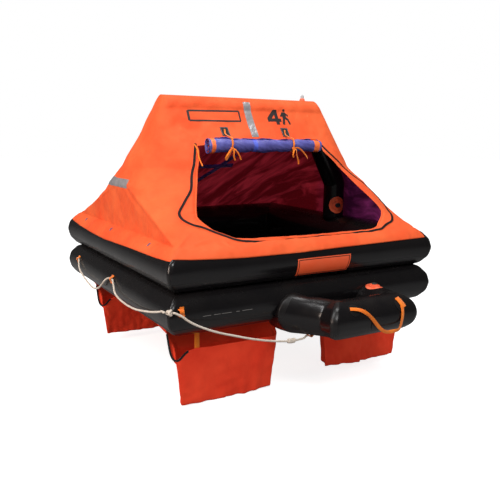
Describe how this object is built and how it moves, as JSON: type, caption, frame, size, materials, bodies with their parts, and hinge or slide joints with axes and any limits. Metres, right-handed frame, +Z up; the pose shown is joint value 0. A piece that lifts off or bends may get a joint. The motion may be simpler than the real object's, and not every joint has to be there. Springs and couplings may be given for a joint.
{
  "type": "inflatable life raft",
  "caption": "Square inflatable life raft with stacked buoyancy tubes, an arched orange canopy with a rolled door, a boarding ramp, ballast pockets and a grab line.",
  "frame": {"origin": "centre of the raft on the waterline of the empty raft, below the middle of the tubes", "axes": "+Z up, the doorway and boarding ramp face -Y, +X to the right of someone who faces the door"},
  "size_m": [1.7558, 2.044, 1.619],
  "materials": {
    "tube_rubber": "black coated cloth, half gloss",
    "canopy_cloth": "orange coated cloth",
    "pocket_cloth": "thin red woven cloth",
    "roll_cloth": "blue coated cloth, rolled",
    "orange_webbing": "woven polyester webbing",
    "black_webbing": "woven polyester webbing",
    "orange_rubber": "matt orange rubber",
    "white_rope": "laid rope",
    "clear_dome": "frosted clear dome",
    "cylinder_paint": "grey paint",
    "steel": "brushed",
    "hose_rubber": "matt black hose"
  },
  "bodies": {
    "root": {"arch_tube": "tube_rubber", "arch_valve": "orange_rubber", "boarding_plate": "orange_rubber", "canopy": "canopy_cloth", "cylinder_head": "steel", "cylinder_sling_inner": "black_webbing", "cylinder_sling_outer": "black_webbing", "door_roll": "roll_cloth", "floor": "tube_rubber", "gas_cylinder": "cylinder_paint", "grab_line_back_left": "white_rope", "grab_line_back_right": "white_rope", "grab_line_front": "white_rope", "grab_line_left_far": "white_rope", "grab_line_left_near": "white_rope", "grab_line_right_far": "white_rope", "grab_line_right_near": "white_rope", "hose_inlet": "steel", "inflation_hose": "hose_rubber", "light_base": "orange_rubber", "light_dome": "clear_dome", "line_knot": "white_rope", "line_loop_back_left": "orange_webbing", "line_loop_back_mid": "orange_webbing", "line_loop_back_right": "orange_webbing", "line_loop_front_left": "orange_webbing", "line_loop_left_back": "orange_webbing", "line_loop_left_mid": "orange_webbing", "line_loop_ramp": "orange_webbing", "line_loop_right_back": "orange_webbing", "line_loop_right_front": "orange_webbing", "line_loop_right_mid": "orange_webbing", "lower_tube": "tube_rubber", "pocket_back_left": "pocket_cloth", "pocket_back_right": "pocket_cloth", "pocket_front_left": "pocket_cloth", "pocket_front_right": "pocket_cloth", "pocket_strap_back_left": "orange_webbing", "pocket_strap_back_right": "orange_webbing", "pocket_strap_front_left": "orange_webbing", "pocket_strap_front_right": "orange_webbing", "ramp_floor": "tube_rubber", "ramp_strap": "orange_webbing", "ramp_tube": "tube_rubber", "ramp_valve": "orange_rubber", "righting_strap": "orange_webbing", "roll_tie_left": "orange_webbing", "roll_tie_right": "orange_webbing", "tie_patch_left": "black_webbing", "tie_patch_right": "black_webbing", "upper_tube": "tube_rubber"}
  },
  "joints": []
}
